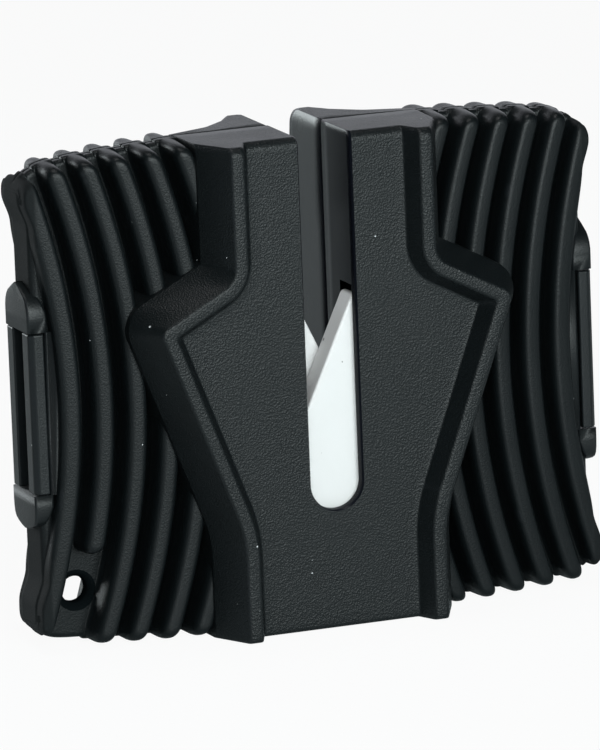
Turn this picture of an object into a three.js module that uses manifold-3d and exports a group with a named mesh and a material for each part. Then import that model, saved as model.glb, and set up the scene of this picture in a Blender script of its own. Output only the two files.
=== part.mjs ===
// Pocket knife sharpener: a ribbed two-part case round two crossed ceramic plates.
// Millimetres, +Z up, the front faces -Y, the origin is on the base in the middle of the case.
import * as THREE from 'three';
import { mergeVertices } from 'three/addons/utils/BufferGeometryUtils.js';
import Module from 'manifold-3d';

const wasm = await Module();
wasm.setup();

// Case outline, seen from the front
const caseHeight = 50;
const endHalfWidth = 29.4;
const cornerFlare = 0.88;
const flareReach = 4.4;
const flareLength = 3;
const edgeBow = 1.5;
const cornerDrop = 1.45;
const cornerPower = 12;
const cornerReach = 2.8;

// Wings: a thin web in each half
const webDepth = 1.1;

// Ribs on the wings: how far their crests stand from the parting plane in the middle and at the ends
const ribCount = 6;
const ribPitch = 3.32;
const ribEndGap = 3.24;
const ribSweep = 4.6;
const ribHalfWidth = 1.1;
const ribChamfer = 0.35;
const ribRootDepth = 5.85;
const ribTipDepth = 3.95;
const ribBump = 0.3;
const edgeFall = 1.4;
const edgeFallPower = 4;

// Raised shield: a proud ridge round a flat panel
const crestDepth = 10.2;
const panelDepth = 8;
const neckHalfWidth = 10.6;
const shoulderHalfWidth = 18.7;
const waistZ = 36.7;
const shoulderZ = 32.4;
const lowZ = 10.7;
const waistRadius = 2.4;
const shoulderRadius = 1;
const lowRadius = 14;
const crestWidth = 1.45;
const innerWallRun = 0.9;
const outerWallDrop = 4.4;
const outerWallRun = 2.1;
const panelCornerRadius = 0.3;
const shieldEdgeRound = 0.5;

// The rear neck is a narrow collar beside the slot that leans in towards its rounded top
const collarDepth = 8.6;
const collarLeanZ = 38;
const collarEdgeRound = 2;

// Knife slot
const slotHalfWidth = 2.75;
const slotCentreZ = 14.8;
const slotWall = 1.5;

// Ceramic plates
const plateLength = 25;
const plateWidth = 11;
const plateThickness = 3;
const plateLean = THREE.MathUtils.degToRad(25);
const plateTopReach = 6.8;
const crossZ = 27.9;
const plateEdgeBreak = 0.25;
const plateFaceWall = 1.2;
const plateGap = 0.05;
const pocketClearance = 0.3;
const fenceWall = 1.2;

// Walls and joining of the two shells
const caseWall = 1.4;
const pinRadius = 1.1;
const pinReach = 1.8;
const pinHighX = 14.3;
const pinHighZ = 31.8;
const pinLowX = 7;
const pinLowZ = 4.5;
const pinClearance = 0.15;
const pinBossWall = 1.2;
const postRadius = 1.3;
const postAlong = 3.2;
const postAcross = 8.2;

// Lanyard hole, in the web below a rib that ends short of it
const lanyardInset = 4.68;
const lanyardZ = 5.53;
const lanyardRadius = 1.35;
const lanyardFlare = 0.45;
const lanyardRib = 1;
const lanyardRibGap = 4;

// End lugs and bars
const endStandOut = 0.6;
const lugDepth = 3.3;
const lugLength = 4.3;
const lugSlope = 2;
const lugTipDepth = 1.6;
const lugRootDepth = 2.4;
const barMidZ = 24.2;
const barLength = 16.2;
const barDepth = 3.5;
const barChamfer = 0.5;
const barThickness = 1.4;
const slitHalfWidth = 1.3;
const barGap = 0.1;
const tenonShoulder = 3.6;
const tenonReach = 1.8;
const tenonInset = 0.3;
const tenonThickness = 0.8;
const tenonClearance = 0.1;

// Sampling of curves and the reach of cutters past the case
const curveSteps = 14;
const bandSteps = 24;
const turnSteps = 6;
const roundSteps = 24;
const meshTolerance = 0.004;
const weldDistance = 1e-4;
const over = 6;

// Sizes that follow from the ones above
const midZ = caseHeight / 2;
const caseHalfWidth = endHalfWidth + cornerFlare;
const wide = 2 * caseHalfWidth;
const ribOuterX = endHalfWidth - ribEndGap;
const lanyardX = lanyardInset - caseHalfWidth;
const lanyardRibEndZ = lanyardZ + lanyardRibGap;
const endFaceX = endHalfWidth + endStandOut;
const barRootX = endFaceX - barThickness;
const lugRootX = endHalfWidth - lugRootDepth;
const seatX = barRootX - barGap;
const seatHalfLength = barLength / 2 + barGap;
const tenonLength = barLength - 2 * tenonShoulder;
const tenonNear = slitHalfWidth + tenonInset;
const tenonFar = tenonNear + tenonThickness;
const collarHalfWidth = slotHalfWidth + crestWidth;
const waistRise = (waistZ - shoulderZ) / (shoulderHalfWidth - neckHalfWidth);
const frontNeck = {
  halfWidth: neckHalfWidth,
  footZ: waistZ,
  leanZ: waistZ,
  topDepth: crestDepth,
  edgeRound: shieldEdgeRound,
  hollowInset: 0,
};
const rearNeck = {
  halfWidth: collarHalfWidth,
  footZ: shoulderZ + waistRise * (shoulderHalfWidth - collarHalfWidth),
  leanZ: collarLeanZ,
  topDepth: collarDepth,
  edgeRound: collarEdgeRound,
  hollowInset: caseWall / 2,
};

// Solids and meshes
function solid(geometry) {
  const bare = geometry.clone();
  bare.deleteAttribute('normal');
  bare.deleteAttribute('uv');
  const welded = mergeVertices(bare, weldDistance);
  const vertProperties = new Float32Array(welded.attributes.position.array);
  const triVerts = new Uint32Array(welded.index.array);
  return new wasm.Manifold(new wasm.Mesh({ numProp: 3, vertProperties, triVerts }));
}

function toGeometry(body) {
  const mesh = body.getMesh();
  const geometry = new THREE.BufferGeometry();
  geometry.setAttribute('position', new THREE.BufferAttribute(new Float32Array(mesh.vertProperties), 3));
  geometry.setIndex(new THREE.BufferAttribute(new Uint32Array(mesh.triVerts), 1));
  geometry.computeVertexNormals();
  return geometry;
}

function joined(bodies) {
  return bodies.reduce((whole, body) => whole.add(body));
}

function shapeOf(points) {
  return new THREE.Shape(points.map(([u, v]) => new THREE.Vector2(u, v)));
}

// A slab with a front-view outline, from y = -near forward to y = -far
function slab(points, near, far) {
  const geometry = new THREE.ExtrudeGeometry(shapeOf(points), { depth: far - near, bevelEnabled: false });
  geometry.rotateX(Math.PI / 2);
  geometry.translate(0, -near, 0);
  return solid(geometry);
}

// A slab whose end at y = -front has the outline and whose sides flare out by run over drop behind it
function flaredSlab(points, front, drop, run) {
  const geometry = new THREE.ExtrudeGeometry(shapeOf(points), {
    depth: front - drop,
    bevelEnabled: true,
    bevelThickness: drop,
    bevelSize: run,
    bevelSegments: 1,
  });
  geometry.rotateX(Math.PI / 2);
  return solid(geometry);
}

// A prism along Z from a plan-view outline
function column(points, bottom, top) {
  const geometry = new THREE.ExtrudeGeometry(shapeOf(points), { depth: top - bottom, bevelEnabled: false });
  geometry.translate(0, 0, bottom);
  return solid(geometry);
}

// A prism along X from a side-view outline given as y, z
function beam(points) {
  const geometry = new THREE.ExtrudeGeometry(shapeOf(points), { depth: 2 * wide, bevelEnabled: false });
  const axes = new THREE.Matrix4();
  axes.makeBasis(new THREE.Vector3(0, 1, 0), new THREE.Vector3(0, 0, 1), new THREE.Vector3(1, 0, 0));
  geometry.applyMatrix4(axes);
  geometry.translate(-wide, 0, 0);
  return solid(geometry);
}

function block(x0, x1, y0, y1, z0, z1) {
  const geometry = new THREE.BoxGeometry(x1 - x0, y1 - y0, z1 - z0);
  geometry.translate((x0 + x1) / 2, (y0 + y1) / 2, (z0 + z1) / 2);
  return solid(geometry);
}

// A round post along Y, from y = -near forward to y = -far, with its own radius at each end
function post(x, z, near, far, nearRadius, farRadius) {
  const geometry = new THREE.CylinderGeometry(nearRadius, farRadius, far - near, roundSteps);
  geometry.translate(x, -(near + far) / 2, z);
  return solid(geometry);
}

// Outlines
function topEdge(x) {
  const share = x / caseHalfWidth;
  return caseHeight - edgeBow * share ** 2 - cornerDrop * share ** cornerPower;
}

// The ends are straight and flare out towards the corners
function endEdge(z) {
  const fromLongEdge = midZ - Math.abs(z - midZ);
  const straight = THREE.MathUtils.smoothstep(fromLongEdge, flareReach, flareReach + flareLength);
  return caseHalfWidth - cornerFlare * straight;
}

function ribDepth(x) {
  return ribRootDepth - (ribRootDepth - ribTipDepth) * (x / caseHalfWidth) ** 2;
}

function sample(from, to, steps, at) {
  return Array.from({ length: steps + 1 }, (_, i) => at(from + ((to - from) * i) / steps));
}

// The case outline, drawn out by an amount at the long edges
function caseOutline(edgeOut) {
  const cornerZ = caseHeight - edgeBow + edgeOut;
  const cornerX = endEdge(cornerZ);
  const corner = new THREE.QuadraticBezierCurve(
    new THREE.Vector2(endEdge(cornerZ - cornerReach), cornerZ - cornerReach),
    new THREE.Vector2(cornerX, cornerZ),
    new THREE.Vector2(cornerX - cornerReach, topEdge(cornerX - cornerReach) + edgeOut),
  );
  const flareZ = caseHeight - flareReach - flareLength;
  const flare = sample(flareZ, cornerZ - cornerReach, curveSteps, (z) => [endEdge(z), z]);
  const endRun = [[endHalfWidth, midZ], ...flare];
  const turn = corner.getPoints(turnSteps).slice(1, -1).map((p) => [p.x, p.y]);
  const edgeRun = sample(cornerX - cornerReach, 0, curveSteps, (x) => [x, topEdge(x) + edgeOut]);
  const quarter = [...endRun, ...turn, ...edgeRun];
  const upper = [...quarter, ...quarter.slice(0, -1).reverse().map(([x, z]) => [-x, z])];
  const lower = upper.slice(1, -1).reverse().map(([x, z]) => [x, caseHeight - z]);
  return [...upper, ...lower];
}

// A closed outline with each corner x, z, radius rounded off
function rounded(corners) {
  const count = corners.length;
  return corners.flatMap(([x, z, radius], i) => {
    const tip = new THREE.Vector2(x, z);
    const before = new THREE.Vector2(...corners[(i + count - 1) % count]).sub(tip).normalize();
    const after = new THREE.Vector2(...corners[(i + 1) % count]).sub(tip).normalize();
    if (!radius) return [[x, z]];
    const half = Math.acos(before.dot(after)) / 2;
    const reach = radius / Math.tan(half);
    const centre = before.clone().add(after).normalize().multiplyScalar(radius / Math.sin(half)).add(tip);
    const start = before.clone().multiplyScalar(reach).add(tip).sub(centre);
    const end = after.clone().multiplyScalar(reach).add(tip).sub(centre);
    const turn = Math.atan2(start.cross(end), start.dot(end));
    return sample(0, 1, turnSteps, (t) => {
      const p = start.clone().rotateAround(new THREE.Vector2(), turn * t).add(centre);
      return [p.x, p.y];
    });
  });
}

// Corners moved outward by an amount, square to each side
function movedOut(corners, amount) {
  const count = corners.length;
  return corners.map(([x, z], i) => {
    const tip = new THREE.Vector2(x, z);
    const into = tip.clone().sub(new THREE.Vector2(...corners[(i + count - 1) % count])).normalize();
    const away = new THREE.Vector2(...corners[(i + 1) % count]).sub(tip).normalize();
    const normalIn = new THREE.Vector2(into.y, -into.x);
    const normalAway = new THREE.Vector2(away.y, -away.x);
    const middle = normalIn.clone().add(normalAway).normalize();
    const p = middle.multiplyScalar(amount / middle.dot(normalIn)).add(tip);
    return [p.x, p.y];
  });
}

// The shield outline with one of the necks, moved out from the outer edge of the ridge crest, open past
// the long edges
function shieldOutline(neck, amount, waist, shoulder) {
  const right = [
    [neckHalfWidth, -over],
    [neckHalfWidth, lowZ],
    [shoulderHalfWidth, shoulderZ],
    [neck.halfWidth, neck.footZ],
    [neck.halfWidth, caseHeight + over],
  ];
  const left = right.map(([x, z]) => [-x, z]).reverse();
  const radii = [0, lowRadius, shoulder, waist, 0, 0, waist, shoulder, lowRadius, 0];
  const corners = movedOut([...right, ...left], amount);
  return rounded(corners.map(([x, z], i) => [x, z, radii[i]]));
}

function slotOutline(grow) {
  const radius = slotHalfWidth + grow;
  const bottom = sample(0, -Math.PI, roundSteps, (a) => {
    return [radius * Math.cos(a), slotCentreZ + radius * Math.sin(a)];
  });
  return [[radius, caseHeight + over], ...bottom, [-radius, caseHeight + over]];
}

// A plate's outline in the case; side 1 leans up to the right, side -1 up to the left
function plateOutline(side, grow) {
  const along = [-(plateLength - plateTopReach) - grow, plateTopReach + grow];
  const across = [-grow, plateWidth + grow];
  const corners = [[0, 0], [1, 0], [1, 1], [0, 1]];
  return corners.map(([i, j]) => {
    const x = across[i] * Math.cos(plateLean) + along[j] * Math.sin(plateLean);
    const z = along[j] * Math.cos(plateLean) - across[i] * Math.sin(plateLean);
    return [side * x, crossZ + z];
  });
}

// A rib runs down the wing in a curve; its band in the front view, from a height up to past the case
function ribX(index, z) {
  return ribOuterX - ribPitch * index + ribSweep * ((z - midZ) / midZ) ** 2;
}

function ribBand(index, side, halfWidth, fromZ) {
  const top = caseHeight + over;
  const inner = sample(fromZ, top, bandSteps, (z) => [side * (ribX(index, z) - halfWidth), z]);
  const outer = sample(top, fromZ, bandSteps, (z) => [side * (ribX(index, z) + halfWidth), z]);
  return slab([...inner, ...outer], -over, ribRootDepth + over);
}

// The body that all rib crests lie on: the case outline, a lens-shaped front and falling long edges
function ribLimit(inset) {
  const limit = caseHalfWidth + over;
  const front = sample(-limit, limit, 2 * curveSteps, (x) => [x, inset - ribDepth(x)]);
  const lens = column([...front, [limit, over], [-limit, over]], -over, caseHeight + over);
  const fall = sample(0, 1, turnSteps, (t) => [-ribRootDepth * t, edgeFall * t ** edgeFallPower - ribBump]);
  const side = [[over, -ribBump], ...fall];
  const upper = side.map(([y, z]) => [y, caseHeight - z]).reverse();
  const edges = beam([...side, ...upper]);
  return slab(caseOutline(ribBump), -over, ribRootDepth).intersect(lens).intersect(edges);
}

// All ribs of one half, chamfered along their crests
function ribs(lanyardSide) {
  const layer = (halfWidth, inset) => {
    const bands = [-1, 1].flatMap((side) => sample(0, ribCount - 1, ribCount - 1, (index) => {
      const short = index === lanyardRib && side === lanyardSide;
      return ribBand(index, side, halfWidth, short ? lanyardRibEndZ : -over);
    }));
    return joined(bands).intersect(ribLimit(inset));
  };
  return layer(ribHalfWidth, ribChamfer).add(layer(ribHalfWidth - ribChamfer, 0));
}

// The shield block with its flared sides, its long edges rounded, and the recess for the panel
function shieldBody(neck) {
  const crest = shieldOutline(neck, 0, waistRadius, shoulderRadius);
  const flared = flaredSlab(crest, crestDepth, outerWallDrop, outerWallRun);
  const limits = beam(rounded([
    [over, 0, 0],
    [over, caseHeight, 0],
    [-neck.topDepth, caseHeight, neck.edgeRound],
    [-crestDepth, neck.leanZ, 0],
    [-crestDepth, 0, shieldEdgeRound],
  ]));
  const panelIn = -crestWidth - innerWallRun;
  const panel = shieldOutline(neck, panelIn, waistRadius + crestWidth, panelCornerRadius);
  const drop = crestDepth - panelDepth;
  const recess = flaredSlab(panel, over, drop, innerWallRun).rotate([0, 0, 180]);
  return flared.intersect(limits).subtract(recess.translate([0, -panelDepth - over, 0]));
}

// Outside of one half, solid, facing -Y; lanyardSide says on which side the hole is
function halfBody(neck, lanyardSide) {
  const web = slab(caseOutline(0), -over, webDepth);
  const whole = joined([web, shieldBody(neck), ribs(lanyardSide), ...endLugs()]);
  return whole.intersect(block(-wide, wide, -2 * crestDepth, 0, 0, caseHeight));
}

// The lugs above and below each end bar, wedge-shaped towards their tips, in one until the seat is cut
function endLugs() {
  const lugEnd = seatHalfLength + lugLength;
  const upper = [[-lugDepth, lugEnd - lugSlope], [-lugTipDepth, lugEnd], [over, lugEnd]];
  const lower = upper.map(([y, z]) => [y, -z]).reverse();
  const wedge = beam([...upper, ...lower].map(([y, z]) => [y, barMidZ + z]));
  const right = block(lugRootX, endFaceX, -lugDepth, over, barMidZ - lugEnd, barMidZ + lugEnd);
  return [right, right.mirror([1, 0, 0])].map((body) => body.intersect(wedge));
}

// Room for the bars between the lugs, and sockets in the end walls for their tenons
function barSeats() {
  const socketX = barRootX - tenonReach - tenonClearance;
  const socketHalfLength = tenonLength / 2 + tenonClearance;
  const far = -tenonFar - tenonClearance;
  const near = -tenonNear + tenonClearance;
  const right = [
    block(socketX, endFaceX, far, near, barMidZ - socketHalfLength, barMidZ + socketHalfLength),
    block(seatX, endFaceX + over, -over, over, barMidZ - seatHalfLength, barMidZ + seatHalfLength),
  ];
  return [...right, ...right.map((body) => body.mirror([1, 0, 0]))];
}

const pinSpots = [-1, 1].flatMap((side) => [[side * pinHighX, pinHighZ], [side * pinLowX, pinLowZ]]);

function lanyardHole(side) {
  const x = side * Math.abs(lanyardX);
  const straight = post(x, lanyardZ, -over, webDepth + over, lanyardRadius, lanyardRadius);
  const flareStart = webDepth - lanyardFlare;
  const wideRadius = lanyardRadius + 2 * lanyardFlare;
  const flareEnd = webDepth + lanyardFlare;
  return straight.add(post(x, lanyardZ, flareStart, flareEnd, lanyardRadius, wideRadius));
}

// Hollow behind the shield of one half, open at the parting plane
function hollow(neck) {
  const outline = shieldOutline(neck, -neck.hollowInset, waistRadius, shoulderRadius);
  const limits = block(-wide, wide, -2 * crestDepth, over, caseWall, caseHeight - caseWall);
  return slab(outline, -over, panelDepth - caseWall).intersect(limits);
}

// Walls and bosses that stand in the hollow of either half
function innerWalls() {
  const backWall = panelDepth - caseWall / 2;
  const bossRadius = pinRadius + pinBossWall;
  const bosses = pinSpots.map(([x, z]) => post(x, z, 0, backWall, bossRadius, bossRadius));
  return joined([slab(slotOutline(slotWall), 0, backWall), ...bosses]);
}

function makeFrontShell() {
  const lanyardSide = Math.sign(lanyardX);
  const outside = halfBody(frontNeck, lanyardSide);
  const faceDepth = panelDepth - plateFaceWall + plateGap;
  const fenceGrow = pocketClearance + fenceWall;
  const fences = [-1, 1].map((side) => slab(plateOutline(side, fenceGrow), plateGap, faceDepth));
  const pockets = [
    slab(plateOutline(1, pocketClearance), -over, faceDepth),
    slab(plateOutline(-1, pocketClearance), -over, faceDepth - plateThickness - plateGap),
  ];
  const pins = pinSpots.map(([x, z]) => post(x, z, -pinReach, pinReach, pinRadius, pinRadius));
  const kept = joined([innerWalls(), ...fences]).intersect(outside);
  return outside
    .subtract(hollow(frontNeck))
    .add(kept)
    .subtract(joined([slab(slotOutline(0), -over, crestDepth + over), lanyardHole(lanyardSide)]))
    .subtract(joined([...pockets, ...barSeats()]))
    .add(joined(pins))
    .simplify(meshTolerance);
}

// The rear half is made facing -Y like the front one, then turned round, so its left and right are swapped
function makeRearShell() {
  const lanyardSide = -Math.sign(lanyardX);
  const outside = halfBody(rearNeck, lanyardSide);
  const sockets = pinSpots.map(([x, z]) => {
    const radius = pinRadius + pinClearance;
    return post(x, z, -over, pinReach + pinClearance, radius, radius);
  });
  const rearBack = panelDepth - plateFaceWall - 2 * plateThickness - 2 * plateGap;
  const frontBack = panelDepth - plateFaceWall - plateThickness - plateGap;
  const backWall = panelDepth - caseWall / 2;
  const postX = postAcross * Math.cos(plateLean) + postAlong * Math.sin(plateLean);
  const postZ = crossZ + postAlong * Math.cos(plateLean) - postAcross * Math.sin(plateLean);
  const posts = [
    post(-postX, postZ, -frontBack, backWall, postRadius, postRadius),
    post(postX, postZ, -rearBack, backWall, postRadius, postRadius),
  ];
  return outside
    .subtract(hollow(rearNeck))
    .add(innerWalls().intersect(outside))
    .subtract(joined([slab(slotOutline(0), -over, crestDepth + over), lanyardHole(lanyardSide)]))
    .subtract(joined([...sockets, ...barSeats()]))
    .add(joined(posts))
    .simplify(meshTolerance);
}

// A plate lies with its working edge on its own Z axis and its width towards +X or -X
function makePlate(side) {
  const inset = plateEdgeBreak;
  const low = plateTopReach - plateLength + inset;
  const high = plateTopReach - inset;
  const outline = [[inset, low], [plateWidth - inset, low], [plateWidth - inset, high], [inset, high]];
  const options = {
    depth: plateThickness - 2 * inset,
    bevelEnabled: true,
    bevelThickness: inset,
    bevelSize: inset,
    bevelSegments: 1,
  };
  const shape = shapeOf(outline.map(([x, z]) => [side * x, z]));
  const geometry = new THREE.ExtrudeGeometry(shape, options);
  geometry.rotateX(Math.PI / 2);
  geometry.translate(0, (plateThickness - 2 * inset) / 2, 0);
  return solid(geometry);
}

// An end bar for the left front corner: a chamfered bar with a tenon that presses into the end wall
function makeEndBar() {
  const section = [
    [-barRootX, -slitHalfWidth],
    [-barRootX, -barDepth],
    [-endFaceX + barChamfer, -barDepth],
    [-endFaceX, -barDepth + barChamfer],
    [-endFaceX, -slitHalfWidth],
  ];
  const bar = column(section, -barLength / 2, barLength / 2);
  const outer = -(barRootX + endFaceX) / 2;
  const inner = -barRootX + tenonReach;
  return bar.add(block(outer, inner, -tenonFar, -tenonNear, -tenonLength / 2, tenonLength / 2));
}

// Materials
const casePlastic = new THREE.MeshStandardMaterial({ color: 0x17191b, roughness: 0.55, metalness: 0 });
const barPlastic = new THREE.MeshStandardMaterial({ color: 0x1c1e21, roughness: 0.5, metalness: 0 });
const ceramic = new THREE.MeshStandardMaterial({ color: 0xf0f2ee, roughness: 0.6, metalness: 0 });

function part(name, body, material) {
  const mesh = new THREE.Mesh(toGeometry(body), material);
  mesh.name = name;
  return mesh;
}

// Assembly
const sharpener = new THREE.Group();
sharpener.name = 'knife_sharpener';
sharpener.add(part('front_shell', makeFrontShell(), casePlastic));

const rearShell = part('rear_shell', makeRearShell(), casePlastic);
rearShell.rotation.z = Math.PI;
sharpener.add(rearShell);

const frontPlateY = -(panelDepth - plateFaceWall - plateThickness / 2);
const frontPlate = part('front_ceramic_plate', makePlate(1), ceramic);
frontPlate.position.set(0, frontPlateY, crossZ);
frontPlate.rotation.y = plateLean;
sharpener.add(frontPlate);

const rearPlate = part('rear_ceramic_plate', makePlate(-1), ceramic);
rearPlate.position.set(0, frontPlateY + plateThickness + plateGap, crossZ);
rearPlate.rotation.y = -plateLean;
sharpener.add(rearPlate);

const endBar = makeEndBar();
const barPlaces = [
  ['left_front_end_bar', 1, 1],
  ['left_rear_end_bar', 1, -1],
  ['right_front_end_bar', -1, 1],
  ['right_rear_end_bar', -1, -1],
];
for (const [name, alongX, alongY] of barPlaces) {
  const turned = alongX * alongY < 0;
  const bar = part(name, turned ? endBar.mirror([1, 0, 0]) : endBar, barPlastic);
  bar.position.z = barMidZ;
  bar.rotation.z = alongY < 0 ? Math.PI : 0;
  sharpener.add(bar);
}

export default sharpener;
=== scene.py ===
import math
import bpy
import numpy as np
from mathutils import Matrix, Vector


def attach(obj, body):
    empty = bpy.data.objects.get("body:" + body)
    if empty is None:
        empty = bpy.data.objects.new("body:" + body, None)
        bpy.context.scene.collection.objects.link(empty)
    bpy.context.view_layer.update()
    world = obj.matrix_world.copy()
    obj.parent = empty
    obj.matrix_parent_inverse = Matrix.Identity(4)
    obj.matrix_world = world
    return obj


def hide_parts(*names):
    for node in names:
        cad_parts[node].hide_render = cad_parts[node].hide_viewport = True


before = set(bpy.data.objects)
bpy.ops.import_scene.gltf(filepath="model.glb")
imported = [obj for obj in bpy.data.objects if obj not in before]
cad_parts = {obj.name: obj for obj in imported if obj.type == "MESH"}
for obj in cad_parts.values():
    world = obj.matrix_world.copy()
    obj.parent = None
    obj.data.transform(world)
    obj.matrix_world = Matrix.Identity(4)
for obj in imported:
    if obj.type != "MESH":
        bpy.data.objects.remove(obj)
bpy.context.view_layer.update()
print("frame loaded:", len(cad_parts), "solids")

mm = 0.001  # shapes are worked out in millimetres and stored in metres

caseForm = {
    "height": 50.0, "halfWidth": 30.28, "partingCut": 0.1, "partingBand": 0.14, "weld": 0.004,
}
midZ = caseForm["height"] / 2


# sheets to meshes
def smoothStep(low, high, value):  # 0 below low, 1 above high, a cubic ease between
    t = np.clip((value - low) / (high - low), 0, 1)
    return t * t * (3 - 2 * t)


def weldSheets(sheets):
    # every sheet is rows x columns x 3; neighbours make a quad, equal points become one vertex
    points, quads, start = [], [], 0
    for sheet in sheets:
        p = sheet["points"]
        rows, cols = p.shape[:2]
        index = np.arange(rows * cols).reshape(rows, cols) + start
        quad = np.stack([index[:-1, :-1], index[:-1, 1:], index[1:, 1:], index[1:, :-1]], -1)
        if sheet.get("flip"):
            quad = quad[..., ::-1]
        keep = sheet.get("keep")
        quads.append(quad[keep] if keep is not None else quad.reshape(-1, 4))
        points.append(p.reshape(-1, 3))
        start += rows * cols
    points, quads = np.concatenate(points), np.concatenate(quads)
    keys = np.round(points / caseForm["weld"]).astype(np.int64)
    unused, first, back = np.unique(keys, axis=0, return_index=True, return_inverse=True)
    return points[first], back.ravel()[quads]


def cleanFaces(quads):
    # quads that lost a corner in the weld become triangles, thinner ones go
    same = quads == np.roll(quads, -1, axis=1)
    whole = quads[same.sum(1) == 0]
    bent = same.sum(1) == 1
    drop = np.argmax(same[bent], 1)
    order = (drop[:, None] + np.arange(1, 4)) % 4
    triangles = np.take_along_axis(quads[bent], order, 1)
    whole = whole[(whole[:, 0] != whole[:, 2]) & (whole[:, 1] != whole[:, 3])]
    return whole, triangles


def makePiece(name, sheets, material, turned=False):
    points, quads = weldSheets(sheets)
    whole, triangles = cleanFaces(quads)
    if turned:
        points = points * np.array([-1, -1, 1])  # half a turn about the upright axis
    mesh = bpy.data.meshes.new(name)
    mesh.from_pydata((points * mm).tolist(), [], whole.tolist() + triangles.tolist())
    mesh.polygons.foreach_set("use_smooth", np.ones(len(mesh.polygons), bool))
    mesh.materials.append(material)
    mesh.update()
    piece = bpy.data.objects.new(name, mesh)
    bpy.context.scene.collection.objects.link(piece)
    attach(piece, "root")
    print("made", name, len(mesh.polygons), "faces")
    return piece


def addBevel(piece, width, segments=3, angle=30):
    bevel = piece.modifiers.new("softEdges", "BEVEL")
    bevel.width = width * mm
    bevel.segments = segments
    bevel.limit_method = "ANGLE"
    bevel.angle_limit = math.radians(angle)
    bevel.harden_normals = True
    return bevel


# materials
def newGroup(name, inputs, outputs):
    group = bpy.data.node_groups.new(name, "ShaderNodeTree")
    for title, kind, value in inputs:
        socket = group.interface.new_socket(title, in_out="INPUT", socket_type=kind)
        socket.default_value = value
    for title, kind in outputs:
        group.interface.new_socket(title, in_out="OUTPUT", socket_type=kind)
    return group, group.nodes.new("NodeGroupInput"), group.nodes.new("NodeGroupOutput")


def addNode(tree, kind, links=(), **values):
    node = tree.nodes.new(kind)
    for key, value in values.items():
        if hasattr(node, key):
            setattr(node, key, value)
        else:
            node.inputs[key.replace("_", " ")].default_value = value
    for socket, source in links:
        tree.links.new(source, node.inputs[socket])
    return node


def mathNode(tree, operation, a, b=None, clamp=False):
    node = tree.nodes.new("ShaderNodeMath")
    node.operation = operation
    node.use_clamp = clamp
    for i, value in enumerate([a, b]):
        if value is None:
            continue
        if hasattr(value, "is_linked"):
            tree.links.new(value, node.inputs[i])
        else:
            node.inputs[i].default_value = value
    return node.outputs[0]


def makeGrainGroup():  # moulded grain: fine noise and pits as a height, noise as two masks
    group, into, out = newGroup(
        "mouldGrain",
        [("Fine Scale", "NodeSocketFloat", 4200.0), ("Broad Scale", "NodeSocketFloat", 300.0)],
        [("Height", "NodeSocketFloat"), ("Mottle", "NodeSocketFloat"), ("Cloud", "NodeSocketFloat")],
    )
    where = addNode(group, "ShaderNodeTexCoord").outputs["Object"]
    fineLinks = [("Vector", where), ("Scale", into.outputs["Fine Scale"])]
    broadLinks = [("Vector", where), ("Scale", into.outputs["Broad Scale"])]
    fine = addNode(group, "ShaderNodeTexNoise", fineLinks, Detail=1.0, Roughness=0.5)
    pits = addNode(group, "ShaderNodeTexVoronoi", fineLinks)
    broad = addNode(group, "ShaderNodeTexNoise", broadLinks, Detail=4.0, Roughness=0.55)
    pitted = mathNode(group, "MULTIPLY", pits.outputs["Distance"], 1.1)  # pits a little deeper than the noise
    height = mathNode(group, "ADD", fine.outputs["Fac"], pitted)
    group.links.new(height, out.inputs["Height"])
    group.links.new(fine.outputs["Fac"], out.inputs["Mottle"])
    group.links.new(broad.outputs["Fac"], out.inputs["Cloud"])
    return group


def makeDustGroup():  # sparse pale specks: the near middle of some random cells
    group, into, out = newGroup(
        "dustSpecks",
        [
            ("Scale", "NodeSocketFloat", 420.0), ("Size", "NodeSocketFloat", 0.09),
            ("Share", "NodeSocketFloat", 0.12),
        ],
        [("Mask", "NodeSocketFloat")],
    )
    where = addNode(group, "ShaderNodeTexCoord").outputs["Object"]
    cells = addNode(group, "ShaderNodeTexVoronoi", [("Vector", where), ("Scale", into.outputs["Scale"])])
    pick = addNode(group, "ShaderNodeSeparateColor", [("Color", cells.outputs["Color"])])
    chosen = mathNode(group, "LESS_THAN", pick.outputs["Red"], into.outputs["Share"])
    varied = mathNode(group, "ADD", pick.outputs["Green"], 0.35)  # from a third to over the full size
    size = mathNode(group, "MULTIPLY", into.outputs["Size"], varied)
    near = mathNode(group, "LESS_THAN", cells.outputs["Distance"], size)
    group.links.new(mathNode(group, "MULTIPLY", chosen, near), out.inputs["Mask"])
    return group


def makeWearGroup():  # worn edges: where the surface turns outwards
    group, into, out = newGroup(
        "edgeWear",
        [("From", "NodeSocketFloat", 0.52), ("To", "NodeSocketFloat", 0.62)],
        [("Mask", "NodeSocketFloat")],
    )
    shape = addNode(group, "ShaderNodeNewGeometry")
    limits = [("From Min", into.outputs["From"]), ("From Max", into.outputs["To"])]
    ease = addNode(group, "ShaderNodeMapRange", [("Value", shape.outputs["Pointiness"]), *limits])
    group.links.new(ease.outputs["Result"], out.inputs["Mask"])
    return group


grainGroup, dustGroup, wearGroup = makeGrainGroup(), makeDustGroup(), makeWearGroup()


def placeGroup(tree, group, **values):
    node = tree.nodes.new("ShaderNodeGroup")
    node.node_tree = group
    for key, value in values.items():
        node.inputs[key.replace("_", " ")].default_value = value
    return node


def mixColour(tree, factor, a, b):
    node = tree.nodes.new("ShaderNodeMix")
    node.data_type = "RGBA"
    for socket, value in ((node.inputs[0], factor), (node.inputs[6], a), (node.inputs[7], b)):
        if hasattr(value, "is_linked"):
            tree.links.new(value, socket)
        else:
            socket.default_value = value
    return node.outputs[2]


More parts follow.
